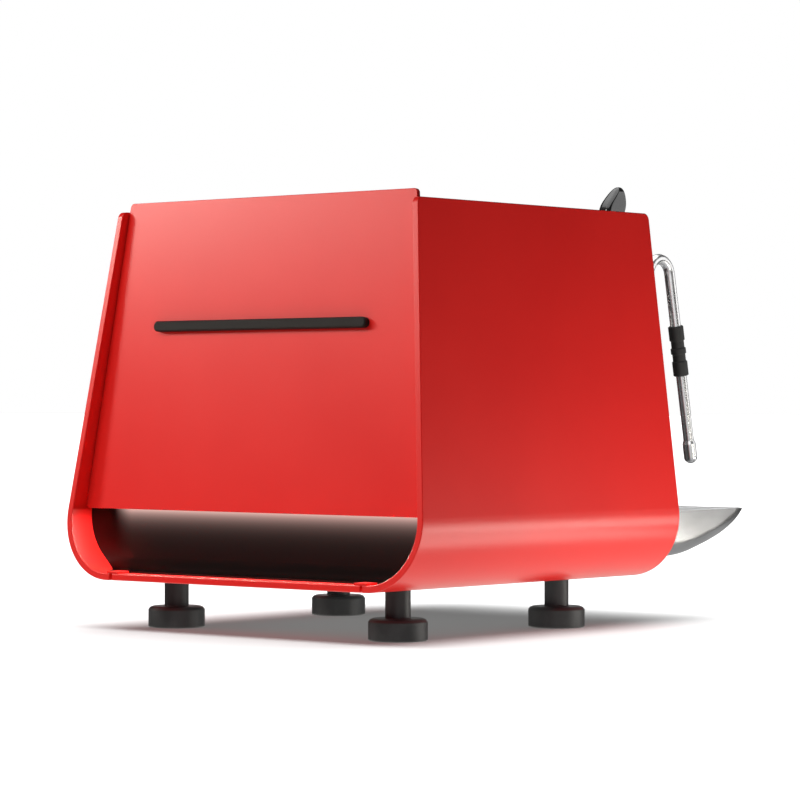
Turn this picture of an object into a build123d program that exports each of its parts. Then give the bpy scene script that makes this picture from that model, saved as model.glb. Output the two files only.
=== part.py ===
from build123d import *
import math
import os

# Espresso machine with one group, sizes in millimetres.
# X runs across the machine, -Y is the working side, +Y the rear, Z is up.
# The origin is on the worktop, under the middle of the machine.

# ---- driving dimensions ----
FLOOR_GAP = 43.0          # worktop to the underside of the body
PANEL_TOP = 367.0         # top edge of the side panels
TOP_HALF = 173.0          # half width of the body at the panel top
LOW_HALF = 212.0          # half width the straight panels would reach at the underside
BEND_R = 55.0             # outside radius of the lower bend
SHEET = 6.0               # side panel thickness
EDGE_R = 0.7              # softened edges of the painted sheets
FLANGE_END = 146.0        # half width where the bottom flanges end
REAR_TOP_Y, REAR_LOW_Y = 224.0, 263.0
FRONT_TOP_Y, FRONT_LOW_Y = -96.0, -99.4
PANEL_CORNER = 6.0

REAR_PANEL_TOP = 374.0
REAR_PANEL_LOW = 104.7
REAR_PANEL_LOW_Y = 240.3
REAR_LEAN = 24.4 / 269.3  # forward lean of the rear panel per millimetre of height
REAR_SHEET = 4.0

PLATE_Z, PLATE_T = FLOOR_GAP + SHEET, 3.0
DECK_Z = PLATE_Z + PLATE_T            # top of the base plate
TOP_DECK = 352.0                      # top of the head, rails and bulkheads
BAY_REAR_Y = 14.0                     # front face of the front bulkhead
REAR_WALL_Y = 208.0                   # front face of the rear bulkhead
WALL_HALF, WALL_T = 158.0, 2.0        # half width and thickness of both bulkheads

HEAD_LOW, HEAD_FRONT_Y, HEAD_WALL = 262.0, -90.0, 2.5
PANEL_GAP = 1.0                       # air between the side panels and what they enclose

FOOT_X, FOOT_REAR_Y, FOOT_FRONT_Y = 128.3, 196.4, -19.6
FOOT_R, FOOT_H, FOOT_NECK_R, STUD_R = 24.9, 18.6, 10.7, 5.0
RUN_FIT = 0.06                        # radial clearance of a turning or sliding fit

TRAY_HALF, TRAY_RIM, TRAY_FLOOR = 186.0, 101.0, 59.5
TRAY_FRONT_Y, TRAY_REAR_Y, TRAY_SHEET = -236.0, 8.0, 1.5

GROUP_Y = -42.0
COLLAR_R, COLLAR_LOW = 44.0, 232.0
GROOVE_LOW, GROOVE_TOP = 240.0, 250.0 # heights of the ear groove inside the collar
SEAL_TOP, GROUP_STEP, GROUP_TOP = 257.0, 268.0, 290.0
SCREEN_R, SCREEN_LOW, SCREEN_TOP = 27.5, 252.0, 254.0
MOUTH_R, GROOVE_R = 36.2, 40.4        # bore of the collar and of its ear groove
UNLOCK_DEG = 40.0
EAR_DEG = 40.0
FILTER_TOP = 248.8
HANDLE_Z, HANDLE_TIP_Y = 222.0, -263.0

WAND_X = -160.0
BALL_Y, BALL_Z, BALL_R = -102.3, 290.5, 10.0
CAVITY_R = BALL_R + 1.3
WAND_RISE = 64.4                      # degrees of the short leg above level
WAND_FALL = 0.1988                    # forward run of the long leg per millimetre of drop
WAND_R, WAND_WALL, WAND_BEND = 4.85, 1.2, 16.4
WAND_TIP_Z = 142.5

LEVER_X, LEVER_Y, LEVER_Z = -146.0, -72.0, 338.0
PIN_R, HUB_R, STEM_R = 3.0, 7.0, 2.5
LEVER_SLOT_Y0, LEVER_SLOT_Y1 = -84.5, -66.0
SPOUT_X, SPOUT_Y = 150.0, -72.0

PANEL_SLOPE = (LOW_HALF - TOP_HALF) / (PANEL_TOP - FLOOR_GAP)

os.makedirs("parts", exist_ok=True)


def save(piece, name):
    """Label a finished piece and write it as its own file."""
    piece.part.label = name
    export_step(piece.part, "parts/" + name + ".step")


def half_width(z):
    """Outer half width of the straight part of the body at height z."""
    return TOP_HALF + (PANEL_TOP - z) * PANEL_SLOPE


def inner_half(z, gap=PANEL_GAP):
    """Half width left between the side panels at height z, less an air gap."""
    return half_width(z) - (SHEET + gap) * math.hypot(1, PANEL_SLOPE)


def box(x0, x1, y0, y1, z0, z1, mode=Mode.ADD):
    """Add a block between two opposite corners to the part being built."""
    with Locations(((x0 + x1) / 2, (y0 + y1) / 2, (z0 + z1) / 2)):
        Box(x1 - x0, y1 - y0, z1 - z0, mode=mode)


def rod(x, y, z0, z1, radius, mode=Mode.ADD):
    """Add an upright cylinder to the part being built."""
    with Locations((x, y, (z0 + z1) / 2)):
        Cylinder(radius, z1 - z0, mode=mode)


def trapezoid(z0, z1, gap=PANEL_GAP):
    """Outline between the side panels from z0 to z1, in the X-Z plane."""
    low, high = inner_half(z0, gap), inner_half(z1, gap)
    Polygon((-low, z0), (low, z0), (high, z1), (-high, z1), align=None)


def enclosed(gap):
    """Everything between the side panels, bends included, in the X-Z plane."""
    inset = SHEET + gap
    low_z, top_z = FLOOR_GAP + inset, REAR_PANEL_TOP + 10
    low, top = inner_half(low_z, gap), inner_half(top_z, gap)
    with BuildLine() as outline:
        FilletPolyline((-top, top_z), (-low, low_z), (low, low_z), (top, top_z),
                       radius=BEND_R - inset)
        Line((top, top_z), (-top, top_z))
    make_face(outline.edges())


# ---- side panels: one bent sheet each, trimmed to the leaning front and rear ----
def side_panel(sign, name):
    with BuildPart() as panel:
        with BuildSketch(Plane.XZ):
            with BuildLine():
                FilletPolyline((sign * TOP_HALF, PANEL_TOP), (sign * LOW_HALF, FLOOR_GAP),
                               (sign * FLANGE_END, FLOOR_GAP), radius=BEND_R)
                offset(amount=SHEET, side=Side.RIGHT if sign > 0 else Side.LEFT)
            make_face()
        extrude(amount=REAR_LOW_Y + 20, both=True)
        with BuildSketch(Plane.YZ):
            with BuildLine():
                FilletPolyline((FRONT_LOW_Y, FLOOR_GAP - 1), (FRONT_TOP_Y, PANEL_TOP - 0.6),
                               (REAR_TOP_Y, PANEL_TOP - 0.6), (REAR_LOW_Y, FLOOR_GAP - 1),
                               radius=PANEL_CORNER)
                Line((REAR_LOW_Y, FLOOR_GAP - 1), (FRONT_LOW_Y, FLOOR_GAP - 1))
            make_face()
        extrude(amount=LOW_HALF + 20, both=True, mode=Mode.INTERSECT)
        fillet(panel.edges(), radius=EDGE_R)
    save(panel, name)


side_panel(-1, "side_panel_left")
side_panel(1, "side_panel_right")

# ---- rear panel, trim bar and the light behind the panel's lower edge ----
rear_up = Vector(0, -REAR_LEAN, 1).normalized()
rear_out = Vector(0, rear_up.Z, -rear_up.Y)
rear_plane = Plane(origin=(0, REAR_PANEL_LOW_Y, REAR_PANEL_LOW), x_dir=(-1, 0, 0), z_dir=rear_out)
rear_length = (REAR_PANEL_TOP - REAR_PANEL_LOW) / rear_up.Z
rear_low_half = inner_half(REAR_PANEL_LOW, 0.6)
rear_top_half = inner_half(REAR_PANEL_TOP, 0.6)

with BuildPart() as rear_panel:
    with BuildSketch(rear_plane) as rear_outline:
        Polygon((-rear_low_half, 0), (rear_low_half, 0), (rear_top_half, rear_length),
                (-rear_top_half, rear_length), align=None)
        fillet(rear_outline.vertices().group_by(Axis.Z)[-1], radius=4)
    extrude(amount=-REAR_SHEET)
    fillet(rear_panel.edges(), radius=EDGE_R)
save(rear_panel, "rear_panel")

TRIM_LENGTH, TRIM_HEIGHT, TRIM_DEPTH, TRIM_Z = 245.0, 9.0, 6.0, 264.0
trim_up = (TRIM_Z - REAR_PANEL_LOW) / rear_up.Z
with BuildPart() as trim_bar:
    with BuildSketch(rear_plane):
        with Locations((0, trim_up)):
            SlotOverall(TRIM_LENGTH, TRIM_HEIGHT)
    extrude(amount=TRIM_DEPTH)
    chamfer(trim_bar.edges().group_by(SortBy.LENGTH)[-1].sort_by(Axis.Y)[-2:], length=1)
save(trim_bar, "trim_bar")

RECESS_Y, RECESS_SHEET = 232.0, 1.5   # depth of the recess wall and its thickness
STRIP_HALF, STRIP_LOW, STRIP_T = 185.0, REAR_PANEL_LOW + 0.3, 3.5
with BuildPart() as rear_light_strip:
    box(-STRIP_HALF, STRIP_HALF, RECESS_Y + 0.3, REAR_PANEL_LOW_Y - REAR_SHEET - 0.8, STRIP_LOW,
        STRIP_LOW + STRIP_T)
save(rear_light_strip, "rear_light_strip")

# ---- base: plate with two ribs that carry the tray, rear rail, splice plates, foot nuts ----
FOOT_SPOTS = [(sx * FOOT_X, y) for sx in (-1, 1) for y in (FOOT_FRONT_Y, FOOT_REAR_Y)]
INLET_X, INLET_Y, INLET_HALF_X, INLET_HALF_Y = 90.0, 165.0, 15.0, 12.0
FITTING_SPOTS = [(-60.0, 172.0), (-20.0, 172.0)]
FITTING_R, FITTING_BORE_R, FITTING_DEPTH = 12.0, 7.5, 12.0
PLATE_HALF, PLATE_FRONT_Y, PLATE_REAR_Y = 150.0, -92.0, RECESS_Y - RECESS_SHEET - 1
RIB_X, RIB_Y, RIB_T, RIB_LENGTH = 110.0, -40.0, 6.0, 100.0
RIB_H = TRAY_FLOOR - 0.3 - DECK_Z
RAIL_FRONT_Y, SEAM = 214.0, 3.0       # front of the rear rail, gap to the side panels

with BuildPart() as base_plate:
    box(-PLATE_HALF, PLATE_HALF, PLATE_FRONT_Y, PLATE_REAR_Y, PLATE_Z, DECK_Z)
    for sign in (-1, 1):
        with Locations((sign * RIB_X, RIB_Y, DECK_Z + RIB_H / 2)):
            Box(RIB_T, RIB_LENGTH, RIB_H)
    for x, y in FOOT_SPOTS:
        rod(x, y, PLATE_Z, DECK_Z, STUD_R + RUN_FIT, Mode.SUBTRACT)
    for x, y in FITTING_SPOTS:
        rod(x, y, PLATE_Z, DECK_Z, FITTING_R, Mode.SUBTRACT)
    box(INLET_X - INLET_HALF_X, INLET_X + INLET_HALF_X, INLET_Y - INLET_HALF_Y,
        INLET_Y + INLET_HALF_Y, PLATE_Z, DECK_Z, Mode.SUBTRACT)
save(base_plate, "base_plate")

with BuildPart() as rear_rail:
    box(-FLANGE_END + SEAM, FLANGE_END - SEAM, RAIL_FRONT_Y, REAR_LOW_Y - 1, FLOOR_GAP, PLATE_Z)
    fillet(rear_rail.edges().filter_by(Axis.X).sort_by(Axis.Y)[-2:], radius=1)
save(rear_rail, "rear_rail")

SPLICE_X, SPLICE_Y, SPLICE_T = 143.0, 254.5, 2.0
with BuildPart() as splice_plates:
    for sign in (-1, 1):
        with Locations((sign * SPLICE_X, SPLICE_Y, PLATE_Z + SPLICE_T / 2)):
            Box(14, 13, SPLICE_T)
save(splice_plates, "splice_plates")

NUT_CORNER_R, NUT_H = 9.8, 5.0
with BuildPart() as foot_nuts:
    with BuildSketch(Plane.XY.offset(DECK_Z)):
        with Locations(*FOOT_SPOTS):
            RegularPolygon(radius=NUT_CORNER_R, side_count=6)
            Circle(STUD_R + RUN_FIT, mode=Mode.SUBTRACT)
    extrude(amount=NUT_H)
save(foot_nuts, "foot_nuts")


# ---- levelling feet: round pad, slim neck and a threaded stud through the base ----
def foot(x, y, name):
    with BuildPart() as piece:
        with BuildSketch(Plane.XZ.offset(-y)):
            with BuildLine():
                Polyline((x, 0), (x + FOOT_R - 1, 0), (x + FOOT_R, 1), (x + FOOT_R, FOOT_H - 3),
                         (x + FOOT_R - 1.5, FOOT_H - 1), (x + FOOT_R - 4, FOOT_H),
                         (x + FOOT_NECK_R, FOOT_H), (x + FOOT_NECK_R, PLATE_Z - 0.3),
                         (x + STUD_R, PLATE_Z - 0.3), (x + STUD_R, DECK_Z + 6), (x, DECK_Z + 6),
                         close=True)
            make_face()
        revolve(axis=Axis((x, y, 0), (0, 0, 1)))
    save(piece, name)


foot(-FOOT_X, FOOT_FRONT_Y, "foot_front_left")
foot(FOOT_X, FOOT_FRONT_Y, "foot_front_right")
foot(-FOOT_X, FOOT_REAR_Y, "foot_rear_left")
foot(FOOT_X, FOOT_REAR_Y, "foot_rear_right")

# ---- bulkheads and top rails ----
with BuildPart() as bulkhead_front:
    box(-WALL_HALF, WALL_HALF, BAY_REAR_Y, BAY_REAR_Y + WALL_T, DECK_Z, TOP_DECK)
save(bulkhead_front, "bulkhead_front")

VENT_Z, VENT_LENGTH, VENT_HEIGHT = 330.0, 10.0, 3.0
with BuildPart() as bulkhead_rear:
    box(-WALL_HALF, WALL_HALF, REAR_WALL_Y, REAR_WALL_Y + WALL_T, DECK_Z, TOP_DECK)
    with BuildSketch(Plane.XZ.offset(-REAR_WALL_Y)):
        with Locations((0, VENT_Z)):
            with GridLocations(VENT_LENGTH + 4, VENT_HEIGHT + 5, 16, 3):
                SlotOverall(VENT_LENGTH, VENT_HEIGHT)
    extrude(amount=-WALL_T, mode=Mode.SUBTRACT)
save(bulkhead_rear, "bulkhead_rear")

RAIL_X, RAIL_SIDE = 156.0, 12.0
rail_length = REAR_WALL_Y - BAY_REAR_Y - WALL_T
with BuildPart() as top_rails:
    for sign in (-1, 1):
        with Locations((sign * RAIL_X, REAR_WALL_Y - rail_length / 2, TOP_DECK - RAIL_SIDE / 2)):
            Box(RAIL_SIDE, rail_length, RAIL_SIDE)
save(top_rails, "top_rails")

# ---- recess below the rear panel: a dark sheet bent into a shallow channel ----
COVER_GAP = 0.2                       # air between the cover and the sheets round it
COVER_TOP, COVER_BEND_R, COVER_REACH = REAR_PANEL_LOW + 6, 12.0, 15.0
cover_floor = PLATE_Z + COVER_GAP + RECESS_SHEET
with BuildPart() as recess_cover:
    with BuildSketch(Plane.YZ):
        with BuildLine():
            FilletPolyline((RECESS_Y, COVER_TOP), (RECESS_Y, cover_floor),
                           (RECESS_Y + COVER_REACH, cover_floor), radius=COVER_BEND_R)
            offset(amount=RECESS_SHEET, side=Side.RIGHT)
        make_face()
    extrude(amount=LOW_HALF, both=True)
    with BuildSketch(Plane.XZ):
        enclosed(COVER_GAP)
    extrude(amount=REAR_LOW_Y, both=True, mode=Mode.INTERSECT)
save(recess_cover, "recess_cover")

# ---- working bay ----
with BuildPart() as backsplash:
    with BuildSketch(Plane.XZ.offset(-BAY_REAR_Y)):
        trapezoid(TRAY_RIM + 4, HEAD_LOW - 0.5)
    extrude(amount=1.5)
save(backsplash, "backsplash")

with BuildPart() as drip_tray:
    with BuildSketch(Plane.YZ):
        with BuildLine():
            Spline((TRAY_FRONT_Y, TRAY_RIM), (-217.4, 85.3), (-162, 66.2), (-96, TRAY_FLOOR),
                   tangents=((0.55, -0.8), (1, 0)))
            Polyline((-96, TRAY_FLOOR), (TRAY_REAR_Y, TRAY_FLOOR), (TRAY_REAR_Y, TRAY_RIM),
                     (TRAY_FRONT_Y, TRAY_RIM))
        make_face()
    extrude(amount=TRAY_HALF, both=True)
    belly = [e for e in drip_tray.edges() if e.geom_type == GeomType.BSPLINE]
    floor_sides = drip_tray.edges().filter_by(Axis.Y).group_by(Axis.Z)[0]
    fillet(belly + list(floor_sides), radius=14)
    offset(amount=-TRAY_SHEET, openings=drip_tray.faces().sort_by(Axis.Z)[-1])
save(drip_tray, "drip_tray")

GRATE_T, SLOT_PITCH = 3.0, 14.0
with BuildPart() as drip_grate:
    with BuildSketch(Plane.XY.offset(TRAY_RIM - GRATE_T)):
        with BuildLine():
            FilletPolyline((-178, 5), (178, 5), (178, -224), (-178, -224), close=True,
                           radius=[2, 2, 12, 12])
        make_face()
        with Locations((0, -54.5), (0, -164.5)):
            with GridLocations(SLOT_PITCH, 0, 24, 1):
                SlotOverall(96, 7, rotation=90, mode=Mode.SUBTRACT)
    extrude(amount=GRATE_T - 0.6)
save(drip_grate, "drip_grate")

# ---- head: a hollow housing across the front, open towards the bulkhead ----
PANEL_HALF, PANEL_LOW, PANEL_HIGH = 125.0, 286.0, 338.0
SWITCH_X, SWITCH_Z, SWITCH_HALF_W, SWITCH_HALF_H = 148.0, 312.0, 7.6, 12.7
FACE_T, FACE_PROUD = 3.0, 1.0         # thickness of the control panel, how far it stands out
FACE_Y = HEAD_FRONT_Y - FACE_PROUD
with BuildPart() as head_housing:
    with BuildSketch(Plane.XZ.offset(-BAY_REAR_Y)):
        trapezoid(HEAD_LOW, TOP_DECK)
    extrude(amount=BAY_REAR_Y - HEAD_FRONT_Y)
    fillet(head_housing.faces().sort_by(Axis.Y)[0].edges(), radius=5)
    with BuildSketch(Plane.XZ.offset(-BAY_REAR_Y)):
        trapezoid(HEAD_LOW + HEAD_WALL, TOP_DECK - HEAD_WALL, PANEL_GAP + HEAD_WALL)
    extrude(amount=BAY_REAR_Y - HEAD_FRONT_Y - HEAD_WALL, mode=Mode.SUBTRACT)
    box(-PANEL_HALF, PANEL_HALF, HEAD_FRONT_Y - 1, HEAD_FRONT_Y + HEAD_WALL, PANEL_LOW,
        PANEL_HIGH, Mode.SUBTRACT)
    box(SWITCH_X - SWITCH_HALF_W - 0.4, SWITCH_X + SWITCH_HALF_W + 0.4, HEAD_FRONT_Y - 1,
        HEAD_FRONT_Y + HEAD_WALL, SWITCH_Z - SWITCH_HALF_H - 1, SWITCH_Z + SWITCH_HALF_H + 1,
        Mode.SUBTRACT)
    box(LEVER_X - 6, LEVER_X + 6, LEVER_SLOT_Y0, LEVER_SLOT_Y1, TOP_DECK - HEAD_WALL, TOP_DECK,
        Mode.SUBTRACT)
    rod(0, GROUP_Y, HEAD_LOW, HEAD_LOW + HEAD_WALL, COLLAR_R + 0.5, Mode.SUBTRACT)
    rod(SPOUT_X, SPOUT_Y, HEAD_LOW, HEAD_LOW + HEAD_WALL, 6, Mode.SUBTRACT)
save(head_housing, "head_housing")

with BuildPart() as lever_bezel:
    with BuildSketch(Plane.XY.offset(TOP_DECK)):
        with Locations((LEVER_X, LEVER_Y - 2)):
            RectangleRounded(24, 30, 6)
        with Locations((LEVER_X, (LEVER_SLOT_Y0 + LEVER_SLOT_Y1) / 2)):
            Rectangle(12, LEVER_SLOT_Y1 - LEVER_SLOT_Y0, mode=Mode.SUBTRACT)
    extrude(amount=2)
save(lever_bezel, "lever_bezel")

BUTTON_R, BUTTON_XS, BUTTON_Z = 9.0, (-98.0, 68.0, 98.0), 312.0
with BuildPart() as control_panel:
    with BuildSketch(Plane.XZ.offset(-FACE_Y)):
        with Locations((0, (PANEL_LOW + PANEL_HIGH) / 2)):
            Rectangle(2 * PANEL_HALF - 0.4, PANEL_HIGH - PANEL_LOW - 0.4)
        with Locations(*[(x, BUTTON_Z) for x in BUTTON_XS]):
            Circle(BUTTON_R + 0.4, mode=Mode.SUBTRACT)
    extrude(amount=-FACE_T)
save(control_panel, "control_panel")

SCREEN_X, SCREEN_W, SCREEN_H, SCREEN_T = -15.0, 96.0, 32.0, 0.8
with BuildPart() as display_screen:
    with BuildSketch(Plane.XZ.offset(-FACE_Y)):
        with Locations((SCREEN_X, BUTTON_Z)):
            RectangleRounded(SCREEN_W, SCREEN_H, 3)
    extrude(amount=SCREEN_T)
save(display_screen, "display_screen")


BUTTON_PROUD, BUTTON_LENGTH = 2.5, 9.5


def brew_button(x, name):
    with BuildPart() as piece:
        with BuildSketch(Plane.XZ.offset(-FACE_Y + BUTTON_PROUD)):
            with Locations((x, BUTTON_Z)):
                Circle(BUTTON_R)
        extrude(amount=-BUTTON_LENGTH)
        fillet(piece.edges().sort_by(Axis.Y)[0], radius=1)
    save(piece, name)


for number, button_x in enumerate(BUTTON_XS, start=1):
    brew_button(button_x, f"brew_button_{number}")

ROCKER_FRONT_Y, ROCKER_REAR_Y = HEAD_FRONT_Y - 1.4, HEAD_FRONT_Y + 6
rocker_top, rocker_low = SWITCH_Z + SWITCH_HALF_H, SWITCH_Z - SWITCH_HALF_H
with BuildPart() as power_switch:
    with BuildSketch(Plane.YZ.offset(SWITCH_X)):
        with BuildLine():
            Polyline((ROCKER_FRONT_Y, rocker_low), (ROCKER_REAR_Y, rocker_low + 1.7),
                     (ROCKER_REAR_Y, rocker_top - 1.7), (ROCKER_FRONT_Y, rocker_top))
            ThreePointArc((ROCKER_FRONT_Y, rocker_top), (ROCKER_FRONT_Y + 0.8, SWITCH_Z),
                          (ROCKER_FRONT_Y, rocker_low))
        make_face()
    extrude(amount=SWITCH_HALF_W, both=True)
save(power_switch, "power_switch")

# ---- cup tray on top, with a lift-out grid ----
CUP_HALF, CUP_FRONT_Y, CUP_REAR_Y = 163.0, -50.0, 206.0
with BuildPart() as cup_tray:
    box(-CUP_HALF, CUP_HALF, CUP_FRONT_Y, CUP_REAR_Y, TOP_DECK, TOP_DECK + 12)
    fillet(cup_tray.edges().filter_by(Axis.Z), radius=8)
    offset(amount=-1.5, openings=cup_tray.faces().sort_by(Axis.Z)[-1])
save(cup_tray, "cup_tray")

with BuildPart() as cup_grid:
    with BuildSketch(Plane.XY.offset(TOP_DECK + 1.8)):
        with Locations((0, (CUP_FRONT_Y + CUP_REAR_Y) / 2)):
            RectangleRounded(2 * CUP_HALF - 8, CUP_REAR_Y - CUP_FRONT_Y - 8, 6)
            with GridLocations(15, 118, 20, 2):
                SlotOverall(106, 8, rotation=90, mode=Mode.SUBTRACT)
    extrude(amount=4)
save(cup_grid, "cup_grid")


# ---- group head and portafilter ----
def ears(outer, inner, width, angles):
    """Sectors of a ring round the group axis, each width degrees wide."""
    reach = 3 * outer
    Circle(outer)
    Circle(inner, mode=Mode.SUBTRACT)
    with BuildSketch(mode=Mode.PRIVATE) as wedges:
        for angle in angles:
            a, b = math.radians(angle - width / 2), math.radians(angle + width / 2)
            Polygon((0, 0), (reach * math.cos(a), reach * math.sin(a)),
                    (reach * math.cos(b), reach * math.sin(b)), align=None)
    add(wedges.sketch, mode=Mode.INTERSECT)


GROUP_AXIS = Axis((0, GROUP_Y, 0), (0, 0, 1))


def group_plane(z):
    return Plane(origin=(0, GROUP_Y, z))


with BuildPart() as group_collar:
    rod(0, GROUP_Y, COLLAR_LOW, HEAD_LOW, COLLAR_R)
    rod(0, GROUP_Y, COLLAR_LOW, HEAD_LOW, MOUTH_R, Mode.SUBTRACT)
    rod(0, GROUP_Y, GROOVE_LOW, GROOVE_TOP, GROOVE_R, Mode.SUBTRACT)
    with BuildSketch(group_plane(COLLAR_LOW)):
        ears(GROOVE_R, MOUTH_R - 1, EAR_DEG + 6, (-UNLOCK_DEG, 180 - UNLOCK_DEG))
    extrude(amount=GROOVE_LOW - COLLAR_LOW + 1, mode=Mode.SUBTRACT)
    fillet(group_collar.edges().filter_by(GeomType.CIRCLE).group_by(Axis.Z)[0]
           .group_by(SortBy.RADIUS)[-1], radius=2)
save(group_collar, "group_collar")

NECK_R = 30.0                         # upper part of the group, above its mounting flange
with BuildPart() as group_body:
    rod(0, GROUP_Y, SCREEN_TOP, SEAL_TOP, SCREEN_R + 0.5)
    rod(0, GROUP_Y, SEAL_TOP, HEAD_LOW, MOUTH_R - 0.2)
    rod(0, GROUP_Y, HEAD_LOW, GROUP_STEP, COLLAR_R)
    rod(0, GROUP_Y, GROUP_STEP, GROUP_TOP, NECK_R)
save(group_body, "group_body")

BRACKET_HALF, BRACKET_T, BRACKET_TOP = 50.0, 4.0, 300.0
with BuildPart() as group_bracket:
    box(-BRACKET_HALF, BRACKET_HALF, HEAD_FRONT_Y + 4, BAY_REAR_Y, GROUP_STEP,
        GROUP_STEP + BRACKET_T)
    box(-BRACKET_HALF, BRACKET_HALF, BAY_REAR_Y - 3, BAY_REAR_Y, GROUP_STEP + BRACKET_T,
        BRACKET_TOP)
    rod(0, GROUP_Y, GROUP_STEP, GROUP_STEP + BRACKET_T, NECK_R + 0.05, Mode.SUBTRACT)
save(group_bracket, "group_bracket")

with BuildPart() as group_gasket:
    rod(0, GROUP_Y, GROOVE_TOP + 0.3, SEAL_TOP, MOUTH_R - 0.4)
    rod(0, GROUP_Y, GROOVE_TOP + 0.3, SEAL_TOP, SCREEN_R + 0.7, Mode.SUBTRACT)
save(group_gasket, "group_gasket")

HOLE_R, SCREW_R = 0.9, 4.5
with BuildPart() as shower_screen:
    rod(0, GROUP_Y, SCREEN_LOW, SCREEN_TOP, SCREEN_R)
    with BuildSketch(group_plane(SCREEN_LOW)):
        for ring_r, count in ((9, 10), (15, 16), (21, 22)):
            with PolarLocations(ring_r, count):
                Circle(HOLE_R)
    extrude(amount=SCREEN_TOP - SCREEN_LOW, mode=Mode.SUBTRACT)
    rod(0, GROUP_Y, SCREEN_LOW - 1, SCREEN_LOW, SCREW_R)
save(shower_screen, "shower_screen")

BOWL_R, BOWL_BORE_R, BOWL_LOW, BOWL_FLOOR = 34.0, 30.0, 205.0, 212.0
BOSS_LOW, BOSS_R, OUTLET_R = 196.0, 12.0, 4.0
ARM_R, ARM_LENGTH, TANG_R, TANG_LENGTH = 7.0, 31.0, 4.5, 29.0
HANDLE_START_Y = GROUP_Y - BOWL_R - ARM_LENGTH
with BuildPart() as portafilter_body:
    rod(0, GROUP_Y, BOWL_LOW, FILTER_TOP, BOWL_R)
    fillet(portafilter_body.edges().group_by(Axis.Z)[0], radius=8)
    with BuildSketch(group_plane(GROOVE_LOW + 1)):
        ears(GROOVE_R - 0.5, BOWL_R - 1, EAR_DEG, (0, 180))
    extrude(amount=7)
    rod(0, GROUP_Y, BOSS_LOW, BOWL_LOW + 2, BOSS_R)
    with BuildSketch(Plane.XZ.offset(-HANDLE_START_Y)):
        with Locations((0, HANDLE_Z)):
            Circle(ARM_R)
    extrude(amount=-ARM_LENGTH - 3)
    with BuildSketch(Plane.XZ.offset(-HANDLE_START_Y)):
        with Locations((0, HANDLE_Z)):
            Circle(TANG_R)
    extrude(amount=TANG_LENGTH)
    rod(0, GROUP_Y, BOWL_FLOOR, FILTER_TOP, BOWL_BORE_R, Mode.SUBTRACT)
    rod(0, GROUP_Y, BOSS_LOW, BOWL_FLOOR, OUTLET_R, Mode.SUBTRACT)
save(portafilter_body, "portafilter_body")

with BuildPart() as portafilter_handle:
    with BuildSketch(Plane.YZ):
        with BuildLine():
            Line((HANDLE_START_Y, HANDLE_Z), (HANDLE_START_Y, HANDLE_Z + 9))
            Spline((HANDLE_START_Y, HANDLE_Z + 9), (HANDLE_START_Y - 45, HANDLE_Z + 12.5),
                   (HANDLE_START_Y - 90, HANDLE_Z + 11.5), (HANDLE_TIP_Y + 22, HANDLE_Z + 14.2),
                   (HANDLE_TIP_Y, HANDLE_Z), tangents=((-1, 0.1), (0, -1)))
            Line((HANDLE_TIP_Y, HANDLE_Z), (HANDLE_START_Y, HANDLE_Z))
        make_face()
    revolve(axis=Axis((0, 0, HANDLE_Z), (0, 1, 0)))
    with BuildSketch(Plane.XZ.offset(-HANDLE_START_Y)):
        with Locations((0, HANDLE_Z)):
            Circle(TANG_R)
    extrude(amount=TANG_LENGTH, mode=Mode.SUBTRACT)
save(portafilter_handle, "portafilter_handle")

CHUTE_LOW, CHUTE_H, CHUTE_HALF, CHUTE_BORE = 186.0, 7.0, 18.0, 3.0
CHANNEL_LOW, CHANNEL_TOP = CHUTE_LOW + 2, CHUTE_LOW + 5
with BuildPart() as portafilter_spout:
    rod(0, GROUP_Y, CHUTE_LOW, BOSS_LOW, BOSS_R - 2)
    with BuildSketch(group_plane(CHUTE_LOW)):
        SlotCenterToCenter(2 * CHUTE_HALF, 13)
    extrude(amount=CHUTE_H)
    for sign in (-1, 1):
        with Locations((sign * CHUTE_HALF, GROUP_Y, CHUTE_LOW - 5)):
            Cone(4.6, 6.5, 10)
    rod(0, GROUP_Y, CHANNEL_LOW, BOSS_LOW, OUTLET_R, Mode.SUBTRACT)
    box(-CHUTE_HALF, CHUTE_HALF, GROUP_Y - 2.5, GROUP_Y + 2.5, CHANNEL_LOW, CHANNEL_TOP,
        Mode.SUBTRACT)
    for sign in (-1, 1):
        rod(sign * CHUTE_HALF, GROUP_Y, CHUTE_LOW - 10, CHANNEL_TOP, CHUTE_BORE, Mode.SUBTRACT)
save(portafilter_spout, "portafilter_spout")

BASKET_R, BASKET_LOW, BASKET_T = 29.2, 224.0, 1.0
with BuildPart() as filter_basket:
    rod(0, GROUP_Y, FILTER_TOP, FILTER_TOP + BASKET_T, BOWL_R - 0.5)
    rod(0, GROUP_Y, BASKET_LOW, FILTER_TOP, BASKET_R)
    fillet(filter_basket.edges().group_by(Axis.Z)[0], radius=3)
    rod(0, GROUP_Y, BASKET_LOW + BASKET_T, FILTER_TOP + BASKET_T, BASKET_R - BASKET_T,
        Mode.SUBTRACT)
save(filter_basket, "filter_basket")

# ---- water heaters, pump and electrics ----
BOILER_Y, BOILER_Z, BOILER_R = 112.0, 266.0, 50.0
BOILER_HALF, END_T = 96.0, 6.0        # half length of the steam boiler and its end plates
PUMP_Y, PUMP_Z, PUMP_R, SHAFT_R = 110.0, 110.0, 38.0, 6.0
MOTOR_X0, MOTOR_X1, SHAFT_HALF = -14.0, 72.0, 60.0


def cross_rod(x0, x1, y, z, radius, mode=Mode.ADD):
    """Add a cylinder lying along X to the part being built."""
    with Locations(((x0 + x1) / 2, y, z)):
        Cylinder(radius, x1 - x0, rotation=(0, 90, 0), mode=mode)


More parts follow.
